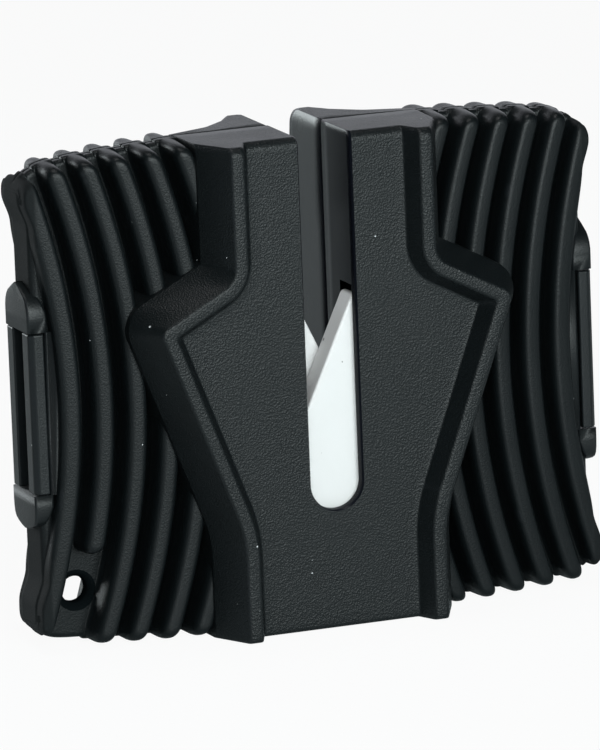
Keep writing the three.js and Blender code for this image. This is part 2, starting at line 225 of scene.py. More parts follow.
def makePlastic(name, look):
    material = bpy.data.materials.new(name)
    material.use_nodes = True
    tree = material.node_tree
    shader = tree.nodes["Principled BSDF"]
    shader.inputs["Specular IOR Level"].default_value = look["specular"]
    grain = placeGroup(tree, grainGroup, Fine_Scale=look["fineScale"], Broad_Scale=look["broadScale"])
    dust = placeGroup(
        tree, dustGroup, Scale=look["dustScale"], Size=look["dustSize"], Share=look["dustShare"],
    )
    wear = placeGroup(tree, wearGroup, From=look["wearFrom"], To=look["wearTo"])
    colour = mixColour(tree, grain.outputs["Cloud"], look["dark"], look["pale"])
    mottleShare = mathNode(tree, "MULTIPLY", grain.outputs["Mottle"], look["mottle"])
    mottled = mixColour(tree, mottleShare, colour, look["fleck"])
    wearShare = mathNode(tree, "MULTIPLY", wear.outputs["Mask"], look["wear"])
    worn = mixColour(tree, wearShare, mottled, look["wornColour"])
    dusty = mixColour(tree, dust.outputs["Mask"], worn, look["dustColour"])
    tree.links.new(dusty, shader.inputs["Base Color"])
    cloudy = mathNode(tree, "SUBTRACT", grain.outputs["Cloud"], 0.5)  # around zero
    rough = mathNode(tree, "ADD", mathNode(tree, "MULTIPLY", cloudy, look["roughSpread"]), look["rough"])
    if look["endRough"]:  # the end faces are coarser
        where = addNode(tree, "ShaderNodeTexCoord").outputs["Object"]
        parts = addNode(tree, "ShaderNodeSeparateXYZ", [("Vector", where)])
        fromMiddle = mathNode(tree, "ABSOLUTE", parts.outputs["X"])
        outward = addNode(tree, "ShaderNodeMapRange", [("Value", fromMiddle)])
        outward.inputs["From Min"].default_value = look["endFrom"] * mm
        outward.inputs["From Max"].default_value = look["endTo"] * mm
        outward.inputs["To Max"].default_value = look["endRough"]
        rough = mathNode(tree, "ADD", rough, outward.outputs[0])
    dustRough = mathNode(tree, "MULTIPLY", dust.outputs["Mask"], look["dustRough"])
    tree.links.new(mathNode(tree, "ADD", rough, dustRough, True), shader.inputs["Roughness"])
    bump = tree.nodes.new("ShaderNodeBump")
    bump.inputs["Strength"].default_value = look["bump"]
    bump.inputs["Distance"].default_value = look["bumpDepth"] * mm
    tree.links.new(grain.outputs["Height"], bump.inputs["Height"])
    tree.links.new(bump.outputs["Normal"], shader.inputs["Normal"])
    return material


plasticLook = {
    "specular": 0.22, "fineScale": 5400.0, "broadScale": 160.0,
    "dark": (0.0020, 0.0029, 0.0033, 1), "pale": (0.0035, 0.0049, 0.0055, 1),
    "fleck": (0.008, 0.011, 0.012, 1), "mottle": 0.35,
    "wear": 0.35, "wearFrom": 0.53, "wearTo": 0.66, "wornColour": (0.012, 0.014, 0.016, 1),
    "dustScale": 620.0, "dustSize": 0.055, "dustShare": 0.18, "dustColour": (0.42, 0.43, 0.44, 1),
    "dustRough": 0.4, "rough": 0.42, "roughSpread": 0.12, "bump": 0.21, "bumpDepth": 0.19,
    "endRough": 0.0, "endFrom": 28.9, "endTo": 29.3,
}
panelPlastic = makePlastic("panelPlastic", plasticLook)
ribPlastic = makePlastic("ribPlastic", {
    **plasticLook, "bump": 0.09, "endRough": 0.4, "mottle": 0.25, "dustShare": 0.1,
    "rough": 0.4, "specular": 0.18,
})
# lanyard eye: a copy of the plastic with no sheen at all, a painted shade that keeps the bore black
eyeShadedPlastic = makePlastic("eyeShadedPlastic", {
    **plasticLook, "bump": 0.02, "mottle": 0.1, "dustShare": 0.0, "rough": 0.6, "specular": 0.0,
})
# slot walls: the blue tint in their base colour is a painted reflection of bluish light; the front wall's
# copy has its sheen cut low as painted shade, the rear wall's copy keeps more
slotPaintedReflectionLook = {**plasticLook, "dark": (0.0026, 0.0028, 0.0050, 1), "pale": (0.0045, 0.0048, 0.0085, 1)}
slotShadedPlastic = makePlastic("slotShadedPlastic", {**slotPaintedReflectionLook, "bump": 0.02, "rough": 0.22, "specular": 0.08})
rearSlotPlastic = makePlastic("rearSlotPlastic", {**slotPaintedReflectionLook, "bump": 0.03, "rough": 0.26, "specular": 0.28})
lugPlastic = makePlastic("lugPlastic", {
    **plasticLook, "bump": 0.08, "mottle": 0.25, "rough": 0.45, "specular": 0.26,
})
barPlastic = makePlastic("barPlastic", {
    **plasticLook, "bump": 0.08, "dustScale": 760.0, "rough": 0.36, "specular": 0.24,
})

ceramicLook = {
    "white": (0.615, 0.60, 0.60, 1), "shade": (0.585, 0.58, 0.575, 1), "speck": (0.16, 0.16, 0.15, 1),
    "speckScale": 700.0, "speckSize": 0.09, "speckShare": 0.5, "fineScale": 5200.0, "broadScale": 240.0,
    "glow": 0.6, "glowDepth": 1.2, "rough": 0.5, "bump": 0.1, "bumpDepth": 0.02,
}


def makeCeramic(look):
    material = bpy.data.materials.new("sinteredCeramic")
    material.use_nodes = True
    tree = material.node_tree
    shader = tree.nodes["Principled BSDF"]
    shader.inputs["Subsurface Weight"].default_value = look["glow"]
    shader.inputs["Subsurface Radius"].default_value = (1, 1, 1)
    shader.inputs["Subsurface Scale"].default_value = look["glowDepth"] * mm
    shader.inputs["Roughness"].default_value = look["rough"]
    grain = placeGroup(tree, grainGroup, Fine_Scale=look["fineScale"], Broad_Scale=look["broadScale"])
    specks = placeGroup(
        tree, dustGroup, Scale=look["speckScale"], Size=look["speckSize"], Share=look["speckShare"],
    )
    colour = mixColour(tree, grain.outputs["Cloud"], look["shade"], look["white"])
    dotted = mixColour(tree, specks.outputs["Mask"], colour, look["speck"])
    tree.links.new(dotted, shader.inputs["Base Color"])
    bump = tree.nodes.new("ShaderNodeBump")
    bump.inputs["Strength"].default_value = look["bump"]
    bump.inputs["Distance"].default_value = look["bumpDepth"] * mm
    tree.links.new(grain.outputs["Height"], bump.inputs["Height"])
    tree.links.new(bump.outputs["Normal"], shader.inputs["Normal"])
    return material


sinteredCeramic = makeCeramic(ceramicLook)
print("materials ready")


# wings
wingForm = {
    "ribCount": 6, "ribPitch": 3.36, "ribOuter": 26.26, "ribSweep": 4.6, "ribHalf": 1.2, "ribPower": 4.0,
    "tipPower": 2.3, "web": 1.1, "rim": 2.5, "edgeRound": 0.5,
    "endRound": 0.7, "endSoft": 0.4, "endX": 29.4,
    "flare": 0.86, "flareFrom": 17.6, "flareTo": 20.6, "recess": 0.95, "recessHalf": 8.8, "recessFade": 2.0,
    "recessZ": 24.2, "turnRows": 14, "topRows": 5, "ceiling": 49.98,
    "levelStops": (11.2, 9.2, 8.0, 5.9), "levelRows": (40, 18, 5, 15), "lastRows": 30, "settleSteps": 40,
}
wingEdges = {
    True: {"bow": 1.45, "drop": 2.3, "power": 24, "rise": 0.25},
    False: {"bow": 0.95, "drop": 1.9, "power": 36, "rise": 0.25},
}
wingHalves = {
    "front": {"innerStart": 8.0, "ribRoot": 5.85, "ribTip": 3.95, "ribTurn": 1.5},
    "rear": {"innerStart": 4.6, "ribRoot": 5.2, "ribTip": 3.2, "ribTurn": 2.0},  # narrower neck, lower ribs
}
lanyardForm = {
    "x": 25.6, "z": 5.53, "radius": 1.35, "flare": 0.45, "rim": 0.3, "cutAway": 0.58,
    "rib": 1, "ribEnd": 9.55,
}


def longEdge(x, up):
    # the case's height, less a bow with the square of x and a corner drop with a high power of x
    form = wingEdges[up]
    share = np.abs(x) / caseForm["halfWidth"]
    return caseForm["height"] - form["bow"] * share**2 - form["drop"] * share ** form["power"]


def ribDepth(x, half):
    # crest line of the ribs, a shallow lens: full depth in the middle, less with the square of x
    share = np.abs(x) / caseForm["halfWidth"]
    return half["ribRoot"] - (half["ribRoot"] - half["ribTip"]) * share**2


def endEdge(z):  # straight ends that flare at the corners and step in behind the end bars
    form = wingForm
    flare = form["flare"] * smoothStep(form["flareFrom"], form["flareTo"], np.abs(z - midZ))
    away = np.abs(z - form["recessZ"])
    fadeEnd = form["recessHalf"] + form["recessFade"]
    inset = form["recess"] * (1 - smoothStep(form["recessHalf"], fadeEnd, away))
    return form["endX"] + flare - inset


def sweepAt(z):  # outward sweep of a rib, with the square of the way from mid height
    return wingForm["ribSweep"] * ((z - midZ) / midZ) ** 2


def softLess(a, b, soft):  # the lesser of two values with the corner between them rounded off
    return (a + b - np.sqrt((a - b) ** 2 + soft**2)) / 2


def wingColumns(innerStart):
    # rib columns keep one distance from the ribs; end columns run on to the end edge, round it and close it
    form = wingForm
    centres = form["ribOuter"] - form["ribPitch"] * np.arange(form["ribCount"])
    across = -np.cos(np.linspace(0, np.pi, 25)) * form["ribHalf"]
    gaps = np.linspace(form["ribHalf"], form["ribPitch"] - form["ribHalf"], 7)[1:-1]
    ribs = np.concatenate([c + np.concatenate([across, gaps]) for c in centres])
    ribs = ribs[ribs < form["ribOuter"] + form["ribHalf"] + 0.001]
    ribs = np.concatenate([np.linspace(innerStart, ribs.min(), 5)[:-1], ribs])
    ribs = np.unique(np.round(ribs, 5))
    toEnd = np.sin(np.linspace(0.02, np.pi / 2, 20))
    face = np.linspace(0, 1, 6)[1:]
    return ribs, toEnd, face


def ribHump(offset, z, intoTurn, holed):
    # a flat-topped ellipse of a high power over each rib, 0 in the grooves and 1 on the crests
    # its end at the long edge is a bullnose, and the rib above the lanyard hole ends in a round tip
    form, eye = wingForm, lanyardForm
    hump = np.zeros(offset.shape)
    for i in range(form["ribCount"]):
        d = np.abs(offset - (form["ribOuter"] - form["ribPitch"] * i)) / form["ribHalf"]
        if holed and i == eye["rib"]:
            d = np.hypot(d, np.clip(eye["ribEnd"] + form["ribHalf"] - z, 0, None) / form["ribHalf"])
        d = (d ** form["tipPower"] + intoTurn ** form["tipPower"]) ** (1 / form["tipPower"])
        hump = np.maximum(hump, np.clip(1 - d ** form["ribPower"], 0, 1) ** (1 / form["ribPower"]))
    return hump


def wingSheet(holed, side, half):
    # every column is an upright section: the front, a turn over the long edge,
    # and the edge back to the parting plane
    form, eye = wingForm, lanyardForm
    ribs, toEnd, face = wingColumns(half["innerStart"])
    n1, n2 = len(ribs), len(ribs) + len(toEnd)

    def placeColumns(z, intoTurn=0.0):  # x, depth and rib height of all columns at their heights z
        swept, end = sweepAt(z), endEdge(z)
        start = softLess(ribs[-1] + swept, end, form["endSoft"])
        x = np.concatenate([
            softLess(ribs + swept[..., :n1], end[..., :n1], form["endSoft"]),
            start[..., n1:n2] + (end - start)[..., n1:n2] * toEnd, end[..., n2:],
        ], -1)
        offset = np.concatenate([ribs + 0 * swept[..., :n1], ribs[-1] + 0 * swept[..., n1:]], -1)
        hump = ribHump(offset, z, intoTurn, holed)
        short = form["endRound"] - np.clip(end - x, 0, form["endRound"])  # how far into the end's round
        fall = form["endRound"] - np.sqrt(form["endRound"] ** 2 - short**2)
        fall[..., :n1] = 0
        floor = np.where(offset > form["ribOuter"], form["rim"], form["web"])  # the ends keep a thicker rim
        depth = floor - fall + (ribDepth(x, half) - floor) * hump
        depth[..., n2:] = depth[..., n2 - 1:n2] * (1 - face)
        return x, depth, hump

    count = n2 + len(face)
    halves = []
    for up in (False, True):
        mirror = (lambda h: h) if up else (lambda h: 2 * midZ - h)
        top = np.full((1, count), caseForm["height"] - 1.0)
        for unused in range(form["settleSteps"]):  # the edge and the sweep depend on each other
            x, depth, hump = placeColumns(mirror(top))
            top = np.minimum(longEdge(x, up) + wingEdges[up]["rise"] * hump, form["ceiling"])
        stops = (midZ, *form["levelStops"])
        spans = zip(stops[:-1], stops[1:], form["levelRows"])
        level = np.concatenate([[midZ], *(np.linspace(a, b, n)[1:] for a, b, n in spans)])
        level = 2 * midZ - level[:, None]
        level = np.broadcast_to(level, (len(level), count))
        turnStart = top - half["ribTurn"]
        last = level[-1:] + np.linspace(0, 1, form["lastRows"])[1:, None] * (turnStart - level[-1:])
        a = np.linspace(0, np.pi / 2, form["turnRows"])[1:, None]
        frontZ = np.concatenate([level, last, turnStart + half["ribTurn"] * np.sin(a)])
        intoTurn = np.clip((frontZ - turnStart) / half["ribTurn"], 0, 1)
        frontDepth = placeColumns(mirror(frontZ), intoTurn)[1]
        intoEdge = np.clip(form["edgeRound"] - (top - frontZ), 0, form["edgeRound"])
        webFall = form["edgeRound"] - np.sqrt(form["edgeRound"] ** 2 - intoEdge**2)
        frontDepth = frontDepth - np.minimum(webFall, 0.6 * frontDepth)
        t = np.linspace(0, 1, form["topRows"])[1:, None]
        capDepth = frontDepth[-1:] * (1 - t)
        fromEnd = smoothStep(0.05, 0.8, endEdge(mirror(top)) - placeColumns(mirror(top))[0])
        capZ = top - caseForm["partingCut"] * fromEnd * smoothStep(caseForm["partingBand"], 0, capDepth)
        z = mirror(np.concatenate([frontZ, capZ]))
        points = np.stack([placeColumns(z)[0], -np.concatenate([frontDepth, capDepth]), z], -1)
        halves.append(points if up else points[:0:-1])
    points = np.concatenate(halves)
    keep = None
    if holed:
        centre = (points[:-1, :-1] + points[1:, 1:]) / 2
        reach = np.hypot(centre[..., 0] - eye["x"], centre[..., 2] - eye["z"])
        low = centre[..., 1] > -form["web"] - 0.1
        keep = ~((reach < eye["radius"] + eye["cutAway"]) & low)
    points[..., 0] *= side
    return {"points": points, "flip": side < 0, "keep": keep}


def eyeSheet(side):  # the lanyard eye turned about its axis: bore, flare and a flat rim on the web
    form, web = lanyardForm, wingForm["web"]
    angle = np.linspace(0, 2 * np.pi, 97)
    bore, flare = form["radius"], form["radius"] + form["flare"]
    radius = np.array([bore, bore, bore + 0.03, flare - 0.05, flare + 0.05, flare + form["rim"]])
    foot = web - form["flare"]
    depth = np.array([0, foot - 0.1, foot, web - 0.04, web + 0.006, web + 0.004])
    x = form["x"] + radius[:, None] * np.cos(angle)
    z = form["z"] + radius[:, None] * np.sin(angle)
    points = np.stack([x * side, np.broadcast_to(-depth[:, None], x.shape), z], -1)
    return {"points": points, "flip": side > 0}


for half, turned in (("front", False), ("rear", True)):
    for label, side in (("left", -1), ("right", 1)):
        holed = side == (1 if turned else -1)
        place = {"left": "right", "right": "left"}[label] if turned else label
        sheet = wingSheet(holed, side, wingHalves[half])
        makePiece(f"{half}_{place}_wing", [sheet], ribPlastic, turned)
    makePiece(f"{half}_lanyard_eye", [eyeSheet(1 if turned else -1)], eyeShadedPlastic, turned)
print("wings made")


# shield and slot
shieldForm = {
    "crestDepth": 10.2, "panelDepth": 8.0, "base": 10.6, "shoulder": 18.7, "shoulderZ": 32.4, "lowZ": 10.7,
    "waistRadius": 2.4, "shoulderRadius": 1.0, "lowRadius": 14.0, "crestWidth": 1.32, "innerRun": 0.95,
    "wallDrop": 4.4, "wallRun": 2.1, "footDepth": 0.9, "footRun": 2.3, "leastRadius": 0.3, "footRound": 0.3,
    "crestRound": 0.42, "wallRound": 0.35, "edgeRound": 0.45, "skirt": 1.6,
}
frontNeck = {
    "half": 10.6, "footZ": 36.7, "leanZ": 38.0, "topDepth": 10.2, "topRound": 0.9,
    "lip": 0.14, "lipDeep": 0.2, "skirt": None,
}
rearNeck = {
    "half": 4.2, "footZ": 40.1, "leanZ": 38.0, "topDepth": 8.6, "topRound": 1.7, "lip": 0.3, "lipDeep": 0.3,
    "skirt": [(1.4, 6.5), (4.2, 3.3), (8.9, 0.9)], "skirtRound": 2.5, "skirtFrom": 37.5, "skirtTo": 43.0,
}
slotForm = {
    "half": 2.75, "centreZ": 14.8, "plateFront": 6.85, "plateBack": 3.75,
    "windowTop": 34.4, "crossWindow": 22.7,
}


def filletLine(corners, radii, steps=6):
    # a line through corners with each inner corner replaced by an arc that touches both legs
    out = [corners[0]]
    for before, tip, after, radius in zip(corners[:-2], corners[1:-1], corners[2:], radii):
        u, v = before - tip, after - tip
        u, v = u / np.linalg.norm(u), v / np.linalg.norm(v)
        half = np.arccos(np.clip(u @ v, -1, 1)) / 2
        middle = (u + v) / np.linalg.norm(u + v)
        centre = tip + middle * radius / np.sin(half)
        start, end = tip + u * radius / np.tan(half) - centre, tip + v * radius / np.tan(half) - centre
        turn = np.arctan2(start[0] * end[1] - start[1] * end[0], start @ end)
        angles = np.linspace(0, turn, steps)
        arc = np.stack([
            start[0] * np.cos(angles) - start[1] * np.sin(angles),
            start[0] * np.sin(angles) + start[1] * np.cos(angles),
        ], -1)
        out.extend(centre + arc)
    out.append(corners[-1])
    return np.array(out)


def shieldEdge(amount, z, neck):  # x of the shield outline moved out square to its sides, at heights z
    form = shieldForm
    corners = np.array([
        [form["base"], -6], [form["base"], form["lowZ"]], [form["shoulder"], form["shoulderZ"]],
        [neck["half"], neck["footZ"]], [neck["half"], 56],
    ])
    legs = np.diff(corners, axis=0)
    legs /= np.linalg.norm(legs, axis=1, keepdims=True)
    normals = np.stack([legs[:, 1], -legs[:, 0]], -1)
    mitre = normals[:-1] + normals[1:]
    mitre /= np.linalg.norm(mitre, axis=1, keepdims=True)
    moved = corners.copy()
    moved[1:-1] += mitre * (amount / (mitre * normals[:-1]).sum(1))[:, None]
    moved[[0, -1], 0] += amount
    bends = [form["lowRadius"] - amount, form["shoulderRadius"] + amount, form["waistRadius"] - amount]
    line = filletLine(moved, [max(bend, form["leastRadius"]) for bend in bends], 14)
    return np.interp(z, line[:, 1], line[:, 0])


def shieldProfile(wall, rounds):
    # panel, ridge and wall as straight legs with rounded corners: how far out from the crest's edge, how deep
    form = shieldForm
    inner = -form["crestWidth"] - form["innerRun"]
    corners = np.array([
        [inner - 1.2, form["panelDepth"]], [inner, form["panelDepth"]],
        [-form["crestWidth"], form["crestDepth"]], [0, form["crestDepth"]], *wall,
    ])
    return filletLine(corners, [form["footRound"], form["crestRound"], form["crestRound"], *rounds])


def shieldSheets(neck, windows):
    # the profile is carried up the outline in rows of one height; the slot's rim, carried back, is its wall
    form, slot = shieldForm, slotForm
    edge, topRound, lip = form["edgeRound"], neck["topRound"], neck["lip"]
    rimRadius = slot["half"] + lip
    turn = np.linspace(0, np.pi / 2, 9)[1:]
    arcAngles = np.linspace(0, np.pi / 2, 17)
    arcZ = slot["centreZ"] - rimRadius * np.cos(arcAngles)
    plain = np.concatenate([
        np.linspace(edge, arcZ[0], 18)[:-1], arcZ, np.linspace(slot["centreZ"], 30, 26)[1:],
        np.linspace(30, 44, 110)[1:], np.linspace(44, caseForm["height"] - topRound, 14)[1:],
        [slot["windowTop"], slot["crossWindow"]],
    ])
    plain = np.unique(np.round(plain, 6))
    topZ = caseForm["height"] - topRound * (1 - np.sin(turn))
    z = np.concatenate([(edge * (1 - np.sin(turn)))[::-1], plain, topZ])
    drop = np.concatenate([(edge * (1 - np.cos(turn)))[::-1], 0 * plain, topRound * (1 - np.cos(turn))])
    flareTop = np.concatenate([0 * turn, 0 * plain, lip * (1 - np.cos(turn))])

    def slotX(radius, height):  # half width of the slot's outline at a height
        low = np.sqrt(np.clip(radius**2 - (slot["centreZ"] - height) ** 2, 0, None))
        return np.where(height >= slot["centreZ"], radius, low)

    def placeProfile(line):  # x and depth of a profile carried along the outline, in rows of one height
        across = np.stack([shieldEdge(amount, z, neck) for amount in line[:, 0]], 1)
        return across, line[:, 1] + 0 * z[:, None]

    wall = [(form["wallRun"], form["crestDepth"] - form["wallDrop"]), (form["footRun"], form["footDepth"])]
    if neck["skirt"]:  # the steep wall eases into a hollow skirt beside the neck
        wall = [wall[0], (form["wallRun"] + 0.08, 3.4), wall[1]]
        outer, depth = placeProfile(shieldProfile(wall, [form["wallRound"]] * 2))
        softOuter, softDepth = placeProfile(shieldProfile(neck["skirt"], [neck["skirtRound"]] * 2))
        ease = smoothStep(neck["skirtFrom"], neck["skirtTo"], z)[:, None]
        outer, depth = outer + (softOuter - outer) * ease, depth + (softDepth - depth) * ease
    else:
        outer, depth = placeProfile(shieldProfile(wall, [form["wallRound"]]))
    lean = np.clip((z - neck["leanZ"]) / (caseForm["height"] - neck["leanZ"]), 0, 1)
    limit = (form["crestDepth"] - (form["crestDepth"] - neck["topDepth"]) * lean)[:, None]
    depth = np.minimum(depth, limit)

    # columns that fall into the slot gather on its rim
    rim = slotX(rimRadius, z) + flareTop
    rimDepth = np.array([np.interp(r, xs, ds) for r, xs, ds in zip(rim, outer, depth)])
    depth = np.where(outer < rim[:, None], rimDepth[:, None], depth)
    outer = np.maximum(outer, rim[:, None])
    shares = np.linspace(0, 1, 6)[:-1]
    x = np.concatenate([rim[:, None] + (outer[:, :1] - rim[:, None]) * shares, outer], 1)
    depth = np.concatenate([np.repeat(rimDepth[:, None], len(shares), 1), depth], 1)
    depth = depth - drop[:, None] * np.minimum(depth / limit * form["crestDepth"] / form["panelDepth"], 1)
    rimDepth = depth[:, 0]
    front = np.stack([x, -depth, np.broadcast_to(z[:, None], x.shape)], -1)

    # slot wall: the rim line carried back through the half, from top right round the bottom to top left
    along = np.array([0, 0.08, 0.5, 0.92, 1])  # a plain chamfer at the rim
    backs = np.array([slot["plateFront"], 5.3, slot["plateBack"], 1.9, caseForm["partingBand"], 0.0])
    out = np.concatenate([lip * (1 - along), 0 * backs[:-1], [caseForm["partingCut"]]])
    behind = np.concatenate([form["panelDepth"] - neck["lipDeep"] * along, backs]) / form["panelDepth"]
    use = z >= arcZ[0] - 1e-6
    zRight, deepRight, flareRight = z[use][::-1], rimDepth[use][::-1], flareTop[use][::-1]
    alpha = np.arccos(np.clip((slot["centreZ"] - zRight) / rimRadius, 0, 1))  # angle from straight down
    wallX = np.sin(alpha)[:, None] * (slot["half"] + out) + flareRight[:, None]
    rise = np.where(zRight >= slot["centreZ"], zRight, slot["centreZ"])[:, None]
    wallZ = rise - np.cos(alpha)[:, None] * (slot["half"] + out)
    right = np.stack([wallX, -behind * deepRight[:, None], wallZ], -1)
    wall = np.concatenate([right, (right * np.array([-1, 1, 1]))[::-1][1:]])
    middle = (wall[:-1, :-1] + wall[1:, 1:]) / 2
    atFront = (middle[..., 1] > -slot["plateFront"]) & (middle[..., 1] < -slot["plateBack"])
    atRear = (middle[..., 1] > -slot["plateBack"]) & (middle[..., 1] < -caseForm["partingBand"])
    tall = middle[..., 2] < slot["windowTop"]
    short = middle[..., 2] < slot["crossWindow"]
    onRight = middle[..., 0] > 0
    opened = (atFront & np.where(onRight, tall, short)) | (atRear & np.where(onRight, short, tall))
    keep = ~opened if windows else None

    # end caps: from the front edge back to the parting plane, with a skirt down into the wings
    share = wall[0, :, 1] / wall[0, 0, 1]
    caps = []
    for row, sign in ((-1, 1), (0, -1)):
        capX = np.broadcast_to(x[row], (len(share), x.shape[1])).copy()
        capY = share[:, None] * front[row, :, 1]
        capZ = np.full(capX.shape, front[row, 0, 2])
        capZ[-1] -= sign * caseForm["partingCut"]
        if sign > 0:
            gathered = x[row] <= rim[row] + 1e-6
            capX = np.where(gathered, wall[0, :, :1], capX)
        cap = np.stack([capX, capY, capZ], -1)
        skirt = cap[:, -1:].copy()
        skirt[..., 2] -= sign * form["skirt"]
        caps.append({"points": np.concatenate([cap, skirt], 1), "flip": sign < 0})
    wall[[0, -1], -1, 2] -= caseForm["partingCut"]

    sheets = [{"points": front}, *caps]
    mirrored = [{"points": s["points"] * np.array([-1, 1, 1]), "flip": not s.get("flip")} for s in sheets]
    return sheets + mirrored + [{"points": wall, "keep": keep}]


frontSheets, rearSheets = shieldSheets(frontNeck, True), shieldSheets(rearNeck, False)
frontShield = makePiece("front_shield", frontSheets[:-1], panelPlastic)
rearShield = makePiece("rear_shield", rearSheets[:-1], panelPlastic, True)
makePiece("front_slot_wall", frontSheets[-1:], slotShadedPlastic)
makePiece("rear_slot_wall", rearSheets[-1:], rearSlotPlastic, True)
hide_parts("front_shell")
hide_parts("rear_shell")
print("shields made")


# end lugs and bars
lugForm = {
    "seatX": 28.5, "faceX": 30.2, "barRootX": 28.6, "depth": 3.3, "midZ": 24.2, "seatHalf": 8.2,
    "soft": 0.3, "seat": (26.9, 2.3),
    "upper": [
        (8.2, 3.3, 28.0), (9.7, 3.3, 28.0), (10.3, 3.28, 28.1), (10.9, 3.1, 28.3), (11.4, 2.8, 28.5),
        (11.8, 2.4, 28.7), (12.5, 1.15, 29.1), (12.9, 0.2, 29.3),
    ],
    "lower": [
        (8.2, 3.3, 28.0), (9.4, 3.3, 28.1), (10.2, 3.25, 28.4), (10.8, 3.1, 28.7), (11.2, 2.8, 28.9),
        (11.5, 2.2, 29.1), (11.8, 1.2, 29.3), (11.95, 0.2, 29.4),
    ],
}
barForm = {"faceX": 30.15, "depth": 3.5, "slit": 1.3, "half": 8.1, "chamfer": 0.5, "soft": 0.2}


def lugSheet(side):
    # one section carried up the end: a low seat between the bars' ends, and lugs beyond that taper to a wedge
    form = lugForm
    upper, lower, seatX, seatDepth = np.array(form["upper"]), np.array(form["lower"]), *form["seat"]
    seat = np.array([[-form["seatHalf"], form["depth"], seatX], [form["seatHalf"], form["depth"], seatX]])
    z, deep, root = np.concatenate([lower[::-1] * np.array([-1, 1, 1]), seat, upper]).T
    outX = np.full((len(z), 1), form["faceX"])
    outX[len(lower):len(lower) + 2] = form["seatX"]
    root, deep = root[:, None], deep[:, None]
    turn = np.linspace(0, np.pi / 2, 6)
    soft = np.minimum(form["soft"], 0.8 * deep)
    low = np.minimum(deep, 0.6)
    low[len(lower):len(lower) + 2] = seatDepth
    x = np.concatenate([
        root, root + 0.1, root + 0.1 + soft * (1 - np.cos(turn)), outX - soft + soft * np.sin(turn), outX,
    ], 1)
    depth = np.concatenate([
        low, deep - soft, deep - soft + soft * np.sin(turn), deep - soft + soft * np.cos(turn), 0 * outX,
    ], 1)
    points = np.stack([x * side, -depth, np.broadcast_to(z[:, None] + form["midZ"], x.shape)], -1)
    return {"points": points, "flip": side < 0}


def makePrism(name, outline, low, high, axis, material, soft):
    # a flat outline carried straight along one axis and closed at both ends
    count = len(outline)
    order = np.argsort({"y": (0, 2, 1), "z": (0, 1, 2)}[axis])
    points = np.concatenate([
        np.column_stack([outline, np.full(count, low)]), np.column_stack([outline, np.full(count, high)]),
    ])[:, order]
    i = np.arange(count)
    j = (i + 1) % count
    faces = np.stack([i, j, j + count, i + count], -1).tolist() + [i[::-1].tolist(), (i + count).tolist()]
    mesh = bpy.data.meshes.new(name)
    mesh.from_pydata((points * mm).tolist(), [], faces)
    mesh.materials.append(material)
    mesh.update()
    volume = sum(p.normal.dot(p.center) * p.area for p in mesh.polygons)
    if volume < 0:
        mesh.flip_normals()
    mesh.polygons.foreach_set("use_smooth", np.ones(len(mesh.polygons), bool))
    piece = bpy.data.objects.new(name, mesh)
    bpy.context.scene.collection.objects.link(piece)
    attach(piece, "root")
    addBevel(piece, soft)
    print("made", name)
    return piece


def barOutline(sideX, sideY):  # a box section with its outer corner cut off
    lug, bar = lugForm, barForm
    section = np.array([
        [lug["barRootX"], bar["slit"]], [bar["faceX"], bar["slit"]],
        [bar["faceX"], bar["depth"] - bar["chamfer"]], [bar["faceX"] - bar["chamfer"], bar["depth"]],
        [lug["barRootX"], bar["depth"]],
    ])
    return section * np.array([sideX, sideY])


for label, side in (("left", -1), ("right", 1)):
    makePiece(f"front_{label}_lugs", [lugSheet(side)], lugPlastic)
    makePiece(f"rear_{label}_lugs", [lugSheet(-side)], lugPlastic, True)
    for half, sideY in (("front", -1), ("rear", 1)):
        low, high = lugForm["midZ"] - barForm["half"], lugForm["midZ"] + barForm["half"]
        outline = barOutline(side, sideY)
        name, soft = f"{label}_{half}_bar", barForm["soft"]
        bar = makePrism(name, outline, low, high, "z", barPlastic, soft)
        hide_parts(f"{label}_{half}_end_bar")
print("ends made")


# ceramic plates
plateForm = {
    "length": 25.0, "width": 11.0, "thick": 3.0, "lean": 25.0, "crossZ": 27.9, "soft": 0.24, "shift": 0.2,
    "corner": 0.5, "frontY": -6.8, "rearY": -3.75, "frontReach": 6.3, "rearReach": 6.8,
}


def makePlate(name, side, front, topReach):
    # a rectangle with rounded corners, leaned about the point where the edges cross
    form = plateForm
    lean = math.radians(form["lean"])
    low = topReach - form["length"]
    corners = np.array([[0, low], [form["width"], low], [form["width"], topReach], [0, topReach]])
    middle = (corners[:1] + corners[-1:]) / 2
    loop = filletLine(np.concatenate([middle, corners, middle]), [form["corner"]] * 4, 6)[:-1]
    x = loop[:, 0] * math.cos(lean) + loop[:, 1] * math.sin(lean)
    z = loop[:, 1] * math.cos(lean) - loop[:, 0] * math.sin(lean) + form["crossZ"]
    outline = np.stack([side * x + form["shift"], z], -1)
    back = front + form["thick"]
    return makePrism(name, outline, front, back, "y", sinteredCeramic, form["soft"])


frontPlate = makePlate("front_plate", 1, plateForm["frontY"], plateForm["frontReach"])
rearPlate = makePlate("rear_plate", -1, plateForm["rearY"], plateForm["rearReach"])
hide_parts("front_ceramic_plate")
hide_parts("rear_ceramic_plate")
print("plates made")


